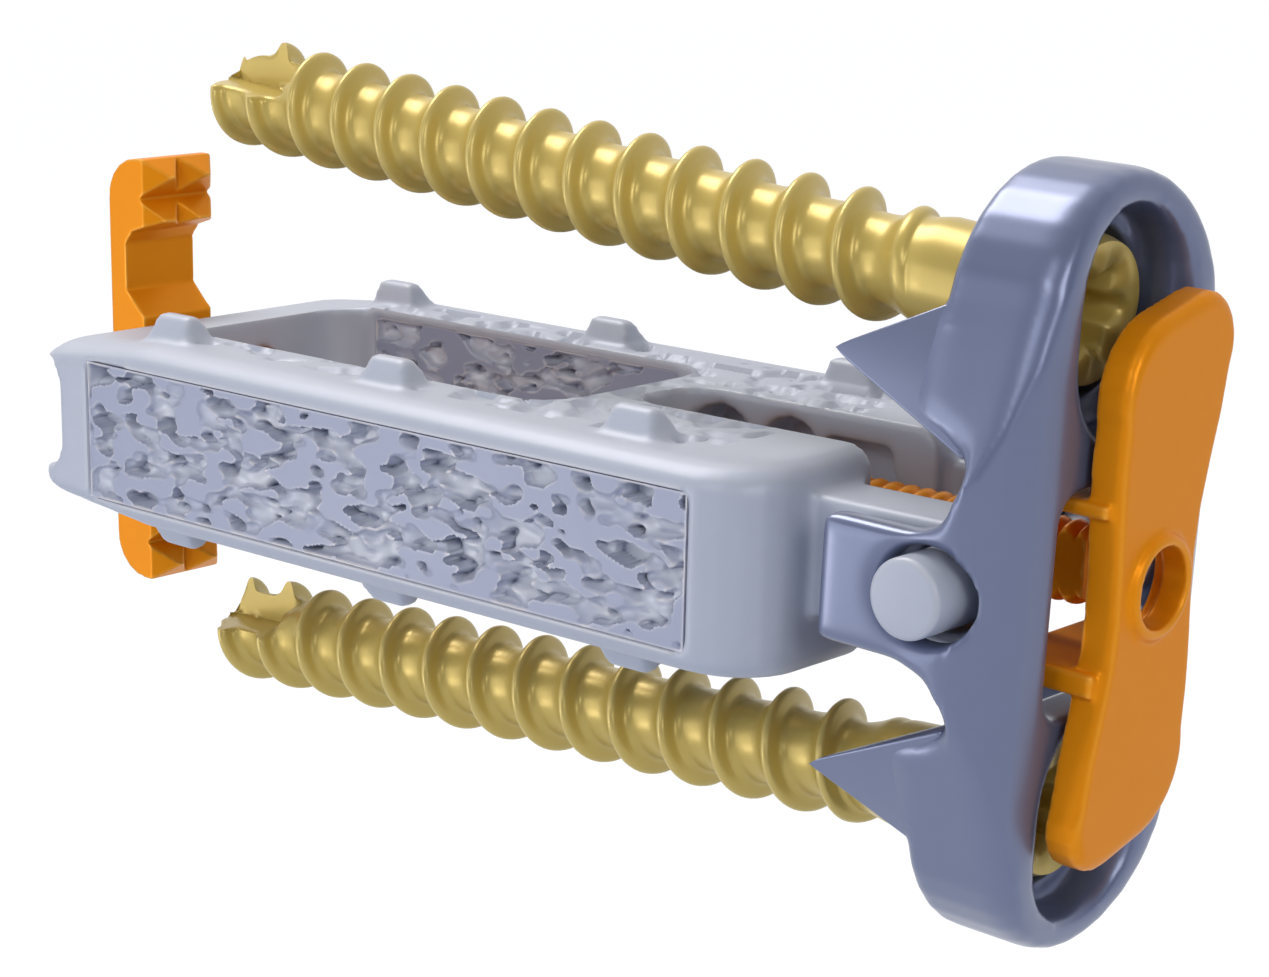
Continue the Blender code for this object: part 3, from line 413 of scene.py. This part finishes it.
def foamField(counts, step, seed, pore, stretch):
    lengthwise = np.fft.fftfreq(counts[0], step) * stretch
    upward = np.fft.fftfreq(counts[1], step)
    inward = np.fft.rfftfreq(counts[2], step)
    size = np.sqrt(
        lengthwise[:, None, None] ** 2 + upward[None, :, None] ** 2 + inward[None, None, :] ** 2
    )
    spectrum = np.fft.rfftn(np.random.default_rng(seed).standard_normal(counts))
    spectrum *= np.exp(-((size * pore - 1) / foamLook["spread"]) ** 2)
    field = np.fft.irfftn(spectrum, counts)
    return field / field.std()


# How deep one looks into the foam at each step of a face, down to the deepest layer
def poreDepths(length, height, look, seed):
    step = look["step"]
    layers = round(look["deepest"] / step) + 1
    counts = (round(length / step) + 1, round(height / step) + 1, layers + foamLook["spareLayers"])
    field = foamField(counts, step, seed, look["pore"], look["stretch"])
    fineSeed = seed + foamLook["fineSeed"]
    field += look["fine"] * foamField(counts, step, fineSeed, look["pore"] / 2, look["stretch"])
    field = field[:, :, :layers] / math.hypot(1, look["fine"])
    value = field - look["level"] + look["firm"] * step * np.arange(layers)
    solid = value > 0
    solid[:, :, -1] = True
    first = solid.argmax(axis=2)
    i, j = np.indices(first.shape)
    here = value[i, j, first]
    before = value[i, j, np.maximum(first - 1, 0)]
    share = np.clip(before / (before - here + 1e-9), 0, 1)
    return np.where(first > 0, (first - 1 + share) * step, 0.0)


def poreReader(length, height, look, seed):
    table = poreDepths(length, height, look, seed)

    def depthAt(across, rise):
        i = round((across + length / 2) / look["step"])
        j = round((rise + height / 2) / look["step"])
        edge = min(length / 2 - abs(across), height / 2 - abs(rise))
        blend = min(1.0, max(0.0, (edge - look["border"]) / foamLook["borderBlend"]))
        inside = 0 <= i < table.shape[0] and 0 <= j < table.shape[1]
        return blend * float(table[i, j]) if inside else 0.0

    return depthAt


# Cage body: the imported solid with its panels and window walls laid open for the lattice

cageLook = {"midZ": -0.9, "halfHeight": 4.7, "voxel": 0.22, "polish": 2}

# The metal lies towards the cage's middle where inward is -1, and away from it where inward is 1
latticeBeds = {
    "panel": {
        "span": (-52.1, -13.1), "half": 3.43, "face": 10.8, "inward": -1, "room": 1.5, "pit": 1.3,
        "seed": 12,
    },
    "wall": {
        "span": (-48.8, -27.7), "half": 4.2, "face": 5.9, "inward": 1, "room": 1.3, "pit": 1.35,
        "seed": 22,
    },
}
skinLook = {
    "from": -51.6, "to": -14.2, "half": 8.3, "flatness": 0.08, "facing": 0.9, "seed": 40,
    "step": 0.1, "pore": 1.9, "fine": 0.3, "stretch": 1.4, "level": 0.1, "firm": 1.2,
    "deepest": 0.28, "border": 0.1,
}


# Push the floors of the solid's sunk pores back, to make room for the lattice
def openLatticeBeds(bm):
    for vert in bm.verts:
        x, y, z = vert.co
        for bed in latticeBeds.values():
            low, high = bed["span"]
            depth = bed["inward"] * (abs(y) - bed["face"])
            inHeight = abs(z - cageLook["midZ"]) < bed["half"] + 0.05
            if low - 0.01 < x < high + 0.01 and inHeight and 0.1 < depth < bed["pit"]:
                vert.co.y = math.copysign(bed["face"] + bed["inward"] * bed["room"], y)


# Shallow pores in the top and the bottom, between the shoulders and the windows
def pitSkins(bm):
    look = skinLook
    middle = (look["from"] + look["to"]) / 2
    length = look["to"] - look["from"]
    readers = {side: poreReader(length, 2 * look["half"], look, look["seed"] + side) for side in (-1, 1)}
    bm.normal_update()
    for vert in bm.verts:
        side = 1 if vert.co.z > cageLook["midZ"] else -1
        away = abs(vert.co.z - cageLook["midZ"]) - cageLook["halfHeight"]
        if abs(away) < look["flatness"] and vert.normal.z * side > look["facing"]:
            vert.co.z -= side * readers[side](vert.co.x - middle, vert.co.y)


def makeCageBody():
    bm = copyNode("cage", fromShaft)
    openLatticeBeds(bm)
    bm = remeshed(bm, cageLook["voxel"])
    polish(bm, cageLook["polish"])
    pitSkins(bm)
    finishPiece(bm, "cageBody", "cage_body", "cage", ["cage"], fromShaft)


# Lattice sheets: two side panels and the two long walls of the graft window

latticeLook = {
    "step": 0.07, "pore": 1.5, "fine": 0.5, "stretch": 2.0, "level": 0.16, "firm": 1.1, "deepest": 0.95,
    "border": 0.12, "sink": 0.14, "overlap": 0.1, "tintGain": 2,
}


def makeLattice(name, bed, side):
    look = latticeLook
    low, high = bed["span"]
    length, height = high - low, 2 * bed["half"]
    depthAt = poreReader(length, height, look, bed["seed"] + side)
    bm = bmesh.new()
    pit = bm.verts.layers.float.new("pit")
    bmesh.ops.create_grid(
        bm, x_segments=round(length / look["step"]), y_segments=round(height / look["step"]), size=1.0
    )
    for vert in bm.verts:
        across, rise = vert.co.x * length / 2, vert.co.y * height / 2
        depth = depthAt(across, rise)
        # How much painted light a pore gets, growing with its depth
        vert[pit] = min(1.0, depth / look["deepest"] * look["tintGain"])
        vert.co = (across, depth, rise)
    rim = [edge for edge in bm.edges if edge.is_boundary]
    grown = bmesh.ops.extrude_edge_only(bm, edges=rim)
    for item in grown["geom"]:
        if isinstance(item, bmesh.types.BMVert):
            item.co.y = bed["room"] - look["sink"] + look["overlap"]
    bmesh.ops.holes_fill(bm, edges=[edge for edge in bm.edges if edge.is_boundary])
    bmesh.ops.recalc_face_normals(bm, faces=bm.faces)
    inward = side * bed["inward"]
    if inward < 0:
        bmesh.ops.rotate(bm, verts=bm.verts, matrix=Matrix.Rotation(math.pi, 3, "Z"))
    centre = Vector(((low + high) / 2, side * bed["face"] + inward * look["sink"], cageLook["midZ"]))
    bmesh.ops.translate(bm, verts=bm.verts, vec=centre)
    finishPiece(bm, name, "cage_body", "lattice", (), fromShaft, 70)


makeCageBody()
makeLattice("panelNear", latticeBeds["panel"], -1)
makeLattice("panelFar", latticeBeds["panel"], 1)
makeLattice("wallNear", latticeBeds["wall"], -1)
makeLattice("wallFar", latticeBeds["wall"], 1)


# Pins

pinLook = {
    "radius": 1.7, "face": 9.6, "edge": 0.28, "edgeSteps": 6,
    "tip": 2.3, "tipRadius": 0.9, "tipEdge": 0.15, "taper": 1.6,
}


def makePinPiece(name, side, node):
    look = pinLook
    tip, tipRadius, tipEdge = look["tip"], look["tipRadius"], look["tipEdge"]
    points = [(tip, 0.0), (tip, tipRadius - tipEdge), (tip + tipEdge, tipRadius)]
    points.append((tip + look["taper"], look["radius"]))
    for index in range(look["edgeSteps"] + 1):
        angle = math.pi / 2 * index / look["edgeSteps"]
        along = look["face"] - look["edge"] * (1 - math.sin(angle))
        points.append((along, look["radius"] - look["edge"] * (1 - math.cos(angle))))
    points.append((look["face"], 0.0))
    bm = spunProfile(points)
    bmesh.ops.rotate(bm, verts=bm.verts, matrix=Matrix.Rotation(side * math.pi / 2, 3, "Z"))
    bmesh.ops.translate(bm, verts=bm.verts, vec=fromShaft.inverted() @ pinPlace)
    finishPiece(bm, name, "cage_body", "cage", [node], fromShaft, 40)


makePinPiece("pinNear", -1, "near_pin")
makePinPiece("pinFar", 1, "far_pin")
print("cage done")


# Plate and cover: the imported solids, with their edges polished round

plateLook = {
    "voxel": 0.15, "polish": 10, "hollowPolish": 30, "hollowFront": 1.6, "hollowHalf": 10.5,
    "spikeFront": -1.6, "spikeOutside": (4.5, 5.0), "spikeSink": 0.12, "spikeEdge": 0.14,
}
spikeCorners = [
    (-6.1, 7.3, 8.9), (-1.0, 6.2, 11.4), (-1.0, 5.2, 10.8), (1.65, 6.0, 10.2),
    (1.1, 7.9, 5.6), (1.1, 6.4, 5.4), (1.65, 7.3, 6.4),
]
coverLook = {"voxel": 0.11, "polish": 4}


# A crisp spike over the softened one of the body
def makeSpike(side, up):
    bm = bmesh.new()
    for x, y, z in spikeCorners:
        bm.verts.new((x, side * y, up * z))
    hull = bmesh.ops.convex_hull(bm, input=bm.verts)
    spare = [item for item in hull["geom_interior"] if isinstance(item, bmesh.types.BMVert)]
    bmesh.ops.delete(bm, geom=spare, context="VERTS")
    bmesh.ops.dissolve_limit(bm, angle_limit=0.02, verts=bm.verts, edges=bm.edges)
    bmesh.ops.bevel(
        bm, geom=bm.edges[:], offset=plateLook["spikeEdge"], affect="EDGES", segments=3, profile=0.5,
        material=-1,
    )
    bmesh.ops.recalc_face_normals(bm, faces=bm.faces)
    return bm


def makePlate():
    look = plateLook
    bm = remeshed(copyNode("plate", fromPin), look["voxel"])
    bm.normal_update()
    outY, outZ = look["spikeOutside"]
    hollowVerts = []
    for vert in bm.verts:
        x, y, z = vert.co
        if x < look["spikeFront"] and abs(y) > outY and abs(z) > outZ:
            vert.co -= vert.normal * look["spikeSink"]
        elif x < look["hollowFront"] and abs(z) < look["hollowHalf"]:
            hollowVerts.append(vert)
    polish(bm, look["polish"])
    polish(bm, look["hollowPolish"], hollowVerts)
    for side in (-1, 1):
        for up in (-1, 1):
            addTo(bm, makeSpike(side, up))
    finishPiece(bm, "plateBody", "plate_body", "plate", ["plate"], fromPin)


def makeCover():
    bm = polishedCopy("cover", fromPin, coverLook)
    finishPiece(bm, "coverBody", "plate_body", "orange", ["cover"], fromPin)


makePlate()
makeCover()


# Screws, along their own axis from the tip to the head

screwLook = {
    "tilt": 4.08, "rise": 10.5, "radius": 2.75, "core": 1.86, "pitch": 3.08, "tip": -53.5,
    "threadEnd": -8.6, "fadeTurns": 0.8, "stemEnd": -4.0, "stem": 2.4, "steps": 56,
    "nose": 2.0, "noseDrop": 0.95, "phase": {1: 2.0, -1: 3.0}, "crestAngle": 67.9,
    "fluteEnd": -48.0, "fluteFloor": 0.35, "fluteBlend": 0.7, "fluteCore": 0.6, "fluteCorner": 0.55,
    "headCentre": -2.2, "headRadius": 3.2, "headFront": -1.0, "headRoot": 0.6, "headRows": 18,
    "headSteps": 96, "recess": 1.95, "lobe": 0.3, "recessDepth": 2.2, "recessCone": 0.3, "entry": 0.45,
}

# One pitch of the thread, as shares of the pitch and of the thread's depth
crestShape = [
    (0.0, 0.0), (0.12, 0.01), (0.24, 0.06), (0.33, 0.2), (0.4, 0.42), (0.46, 0.68), (0.5, 0.86),
    (0.54, 0.97), (0.58, 1.0), (0.62, 0.97), (0.65, 0.84), (0.675, 0.6), (0.69, 0.36), (0.72, 0.16),
    (0.77, 0.05), (0.85, 0.01), (1.0, 0.0),
]
crestShare = 0.58


# Lay the near upper quarter of the tip flat against a floor and a wall
def cutFlute(vert, look):
    floor = look["fluteFloor"]
    x, y, z = vert.co
    blend = min(1.0, max(0.0, (look["fluteEnd"] - x) / look["fluteBlend"]))
    radius = math.hypot(y, z)
    if blend == 0.0 or radius < look["fluteCore"]:
        return
    angle = math.atan2(z, y)
    first = math.acos(min(1.0, floor / radius))
    last = math.pi - math.asin(min(1.0, floor / radius))
    if not first < angle < last:
        return
    corner = first + (last - first) * look["fluteCorner"]
    if angle < corner:
        share = (angle - first) / (corner - first)
        spot = (floor, radius * math.sin(first) * (1 - share) + floor * share)
    else:
        share = (angle - corner) / (last - corner)
        spot = (floor * (1 - share) + radius * math.cos(last) * share, floor)
    vert.co.y = y + (spot[0] - y) * blend
    vert.co.z = z + (spot[1] - z) * blend


def makeThread(look, up):
    depth = look["radius"] - look["core"]
    points = [(share * look["pitch"], look["core"] + rise * depth) for share, rise in crestShape]
    start = look["tip"] - 1.5 * look["pitch"] + crestShare * look["pitch"]
    wanted = look["phase"][up] - look["pitch"] * look["crestAngle"] / 360
    turn = (start - wanted) / look["pitch"] * 2 * math.pi
    bm = woundTube(points, look["pitch"], look["tip"], look["stemEnd"], turn, look["steps"])
    for vert in bm.verts:
        x, y, z = vert.co
        radius = math.hypot(y, z)
        if radius < 0.01:
            continue
        fade = min(1.0, max(0.0, (look["threadEnd"] - x) / (look["fadeTurns"] * look["pitch"])))
        base = look["core"] + (look["stem"] - look["core"]) * (1 - fade)
        target = base + (radius - look["core"]) * (look["radius"] - base) / depth * fade
        noseShare = min(1.0, (x - look["tip"]) / look["nose"])
        target *= math.sqrt(1 - look["noseDrop"] * (1 - noseShare) ** 2)
        vert.co.y *= target / radius
        vert.co.z *= target / radius
        cutFlute(vert, look)
    return bm


# A ball head on a short root, with a six-lobed recess
def makeHead(look):
    root = look["stemEnd"] - look["headRoot"]
    points = [(root, 0.0), (root, look["stem"] - 0.05)]
    start = math.acos(look["stem"] / look["headRadius"])
    end = math.asin((look["headFront"] - look["headCentre"]) / look["headRadius"])
    for index in range(look["headRows"] + 1):
        angle = -start + (start + end) * index / look["headRows"]
        along = look["headCentre"] + look["headRadius"] * math.sin(angle)
        points.append((along, look["headRadius"] * math.cos(angle)))
    front, mouth = look["headFront"], look["recess"] + look["entry"]
    floor = front - look["recessDepth"]
    points += [(front, mouth), (front - look["entry"], look["recess"])]
    points += [(floor, look["recess"] - 0.05), (floor - look["recessCone"], 0.0)]
    bm = spunProfile(points, look["headSteps"])
    for vert in bm.verts:
        radius = math.hypot(vert.co.y, vert.co.z)
        if vert.co.x > floor - 0.1 and 0.1 < radius < mouth + 0.01:
            lobe = look["lobe"] * (math.cos(6 * math.atan2(vert.co.z, vert.co.y)) - 1)
            vert.co.y *= (radius + lobe) / radius
            vert.co.z *= (radius + lobe) / radius
    return bm


def makeScrewPiece(name, up, node):
    look = screwLook
    bm = makeThread(look, up)
    addTo(bm, makeHead(look))
    lean = Matrix.Rotation(math.radians(up * look["tilt"]), 4, "Y")
    placing = fromPin @ Matrix.Translation((-pinX, 0.0, up * look["rise"])) @ lean
    finishPiece(bm, name, "plate_body", "screw", [node], placing, 60)


makeScrewPiece("screwUpper", 1, "upper_screw")
makeScrewPiece("screwLower", -1, "lower_screw")
print("plate, cover and screws done")


# Shaft and anchor

shaftLook = {
    "radius": 1.75, "core": 1.42, "pitch": 0.85, "steps": 40, "crestRows": 8, "crestPower": 0.8,
    "flat": 0.9, "flatStart": -51.0, "start": -57.4, "chamfer": 0.3, "neck": 0.85, "neckRoot": 0.4,
    "flange": 1.6, "flangeEdge": 0.12, "flangeStart": -60.3, "flangeEnd": -59.8,
}
bladeLook = {"voxel": 0.08, "polish": 2}


def makeShaftPiece():
    look = shaftLook
    depth = look["radius"] - look["core"]
    points = []
    for index in range(look["crestRows"] + 1):
        share = index / look["crestRows"]
        rise = depth * math.sin(math.pi * share) ** look["crestPower"]
        points.append((share * look["pitch"], look["core"] + rise))
    bm = woundTube(points, look["pitch"], look["start"], 0.0, 0.0, look["steps"])
    for vert in bm.verts:
        if vert.co.x > look["flatStart"]:
            vert.co.y = max(-look["flat"], min(look["flat"], vert.co.y))
        ending = max(0.0, vert.co.x + look["chamfer"])
        vert.co.z *= 1 - ending / look["radius"]
    low, high, flange, edge = look["flangeStart"], look["flangeEnd"], look["flange"], look["flangeEdge"]
    root = look["start"] + look["neckRoot"]
    stem = [(low, 0.0), (low, flange - edge), (low + edge, flange), (high, flange)]
    stem += [(high, look["neck"]), (root, look["neck"]), (root, 0.0)]
    addTo(bm, spunProfile(stem))
    finishPiece(
        bm, "shaftThread", "shaft_body", "orange", ["anchor_shaft"], fromShaft, 45
    )


def makeBlade():
    bm = polishedCopy("anchor_blade", fromShaft, bladeLook)
    finishPiece(bm, "anchorBlade", "blade_body", "orange", ["anchor_blade"], fromShaft)


makeShaftPiece()
makeBlade()
print("shaft and anchor done")


# Floor, light and camera, in metres

studioLook = {
    "floorHalf": 1.5, "floorDrop": 0.055, "floorColour": (0.52, 0.57, 0.68), "floorRoughness": 0.9,
    "whiteShare": 0.85, "white": 1.13,
    "world": 0.46, "worldTop": (1.0, 0.97, 0.93), "worldLow": (0.62, 0.71, 1.0),
    "backdrop": (-0.62, 0.78, 0.0), "backdropGain": 1.1, "backdropBase": 0.35,
}
lampLooks = {
    "keyLamp": {
        "place": (-0.19, 0.03, 0.30), "energy": 0.8, "colour": (1.0, 0.95, 0.89), "size": 0.18,
    },
    "frontLamp": {
        "place": (0.05, -0.30, 0.19), "energy": 0.17, "colour": (1.0, 0.98, 0.95), "size": 0.10,
    },
    "sideLamp": {
        "place": (0.30, -0.14, 0.14), "energy": 0.3, "colour": (1.0, 0.97, 0.92), "size": 0.14,
    },
    "leftLamp": {
        "place": (-0.20, -0.27, 0.03), "energy": 0.17, "colour": (1.0, 0.97, 0.93), "size": 0.16,
    },
    "lowLamp": {
        "place": (-0.128, -0.145, -0.055), "energy": 0.04, "colour": (1.0, 0.95, 0.88), "size": 0.045,
    },
}


# How much of the white a ray meets: the camera's rays by one share, mirrored rays by another
def whiteSeen(tree, cameraShare, mirrorShare):
    path = tree.nodes.new("ShaderNodeLightPath").outputs
    mirrored = addMath(tree, "MAXIMUM", path["Is Glossy Ray"], path["Is Transmission Ray"])
    mirrored = addMath(tree, "MULTIPLY", mirrored, mirrorShare)
    seen = addMath(tree, "MULTIPLY", path["Is Camera Ray"], cameraShare)
    return addMath(tree, "MAXIMUM", seen, mirrored)


# A pale floor that glows white for the eye and still takes the shadow
def makeFloor():
    look = studioLook
    bm = bmesh.new()
    bmesh.ops.create_grid(bm, x_segments=1, y_segments=1, size=look["floorHalf"])
    bmesh.ops.translate(bm, verts=bm.verts, vec=(0, 0, cadBox[0][2] - look["floorDrop"]))
    mesh = bpy.data.meshes.new("floor")
    bm.to_mesh(mesh)
    bm.free()
    floor = bpy.data.objects.new("floor", mesh)
    scene.collection.objects.link(floor)
    material = bpy.data.materials.new("paleFloor")
    material.use_nodes = True
    tree = material.node_tree
    shader = tree.nodes["Principled BSDF"]
    feed(tree, (*look["floorColour"], 1.0), shader.inputs["Base Color"])
    feed(tree, look["floorRoughness"], shader.inputs["Roughness"])
    glow = tree.nodes.new("ShaderNodeEmission")
    feed(tree, look["white"], glow.inputs["Strength"])
    mix = tree.nodes.new("ShaderNodeMixShader")
    feed(tree, whiteSeen(tree, look["whiteShare"], look["whiteShare"]), mix.inputs["Fac"])
    feed(tree, shader.outputs["BSDF"], mix.inputs[1])
    feed(tree, glow.outputs["Emission"], mix.inputs[2])
    feed(tree, mix.outputs["Shader"], tree.nodes["Material Output"].inputs["Surface"])
    mesh.materials.append(material)


# A white backdrop for the eye, and a soft sky that is warm above and cool below for the light
def makeWorld():
    look = studioLook
    world = bpy.data.worlds.new("studio")
    world.use_nodes = True
    scene.world = world
    tree = world.node_tree
    shade = tree.nodes["Background"]
    place = tree.nodes.new("ShaderNodeTexCoord").outputs["Generated"]
    direction = tree.nodes.new("ShaderNodeSeparateXYZ")
    feed(tree, place, direction.inputs[0])
    height = addMath(tree, "MULTIPLY_ADD", direction.outputs["Z"], 0.5, 0.5, clamp=True)
    sky = addMix(tree, height, (*look["worldLow"], 1.0), (*look["worldTop"], 1.0))
    behind = tree.nodes.new("ShaderNodeVectorMath")
    behind.operation = "DOT_PRODUCT"
    feed(tree, place, behind.inputs[0])
    feed(tree, look["backdrop"], behind.inputs[1])
    facing, gain, base = behind.outputs["Value"], look["backdropGain"], look["backdropBase"]
    mirrorShare = addMath(tree, "MULTIPLY_ADD", facing, gain, base, clamp=True)
    seen = whiteSeen(tree, 1.0, mirrorShare)
    feed(tree, addMix(tree, seen, sky, (1.0, 1.0, 1.0, 1.0)), shade.inputs["Color"])
    strength = addMath(tree, "MULTIPLY_ADD", seen, 1.0 - look["world"], look["world"])
    feed(tree, strength, shade.inputs["Strength"])


# A soft square lamp that looks at the object
def addLamp(name, look):
    lamp = bpy.data.lights.new(name, "AREA")
    lamp.energy = look["energy"]
    lamp.color = look["colour"]
    lamp.size = look["size"]
    item = bpy.data.objects.new(name, lamp)
    item.location = look["place"]
    item.rotation_euler = (-Vector(look["place"])).to_track_quat("-Z", "Y").to_euler()
    item.visible_camera = False
    scene.collection.objects.link(item)


# The photograph's camera: place in millimetres from the shaft's end, focal length and shift in its pixels
cameraLook = {
    "azimuth": 0.732, "elevation": 0.293, "roll": 0.019, "place": (61.948, -100.768, 30.078),
    "focal": 2921.177, "shift": (-57.935, 184.166), "frameWidth": 1269, "sensor": 36.0, "nearest": 0.01,
}


def makeCamera():
    look = cameraLook
    azimuth, elevation, roll = look["azimuth"], look["elevation"], look["roll"]
    flat = math.cos(elevation)
    forward = Vector((-math.sin(azimuth) * flat, math.cos(azimuth) * flat, -math.sin(elevation)))
    level = Vector((math.cos(azimuth), math.sin(azimuth), 0.0))
    upright = level.cross(forward)
    right = math.cos(roll) * level + math.sin(roll) * upright
    above = -math.sin(roll) * level + math.cos(roll) * upright
    lens = bpy.data.cameras.new("photoCamera")
    lens.sensor_fit = "HORIZONTAL"
    lens.sensor_width = look["sensor"]
    lens.lens = look["focal"] / look["frameWidth"] * look["sensor"]
    lens.shift_x = -look["shift"][0] / look["frameWidth"]
    lens.shift_y = look["shift"][1] / look["frameWidth"]
    lens.clip_start = look["nearest"]
    camera = bpy.data.objects.new("photoCamera", lens)
    turn = Matrix((right, above, -forward)).transposed().to_4x4()
    camera.matrix_world = Matrix.Translation(fromShaft @ Vector(look["place"])) @ turn
    scene.collection.objects.link(camera)
    scene.camera = camera


makeFloor()
makeWorld()
for lampName, lampLook in lampLooks.items():
    addLamp(lampName, lampLook)
makeCamera()
print("studio done")
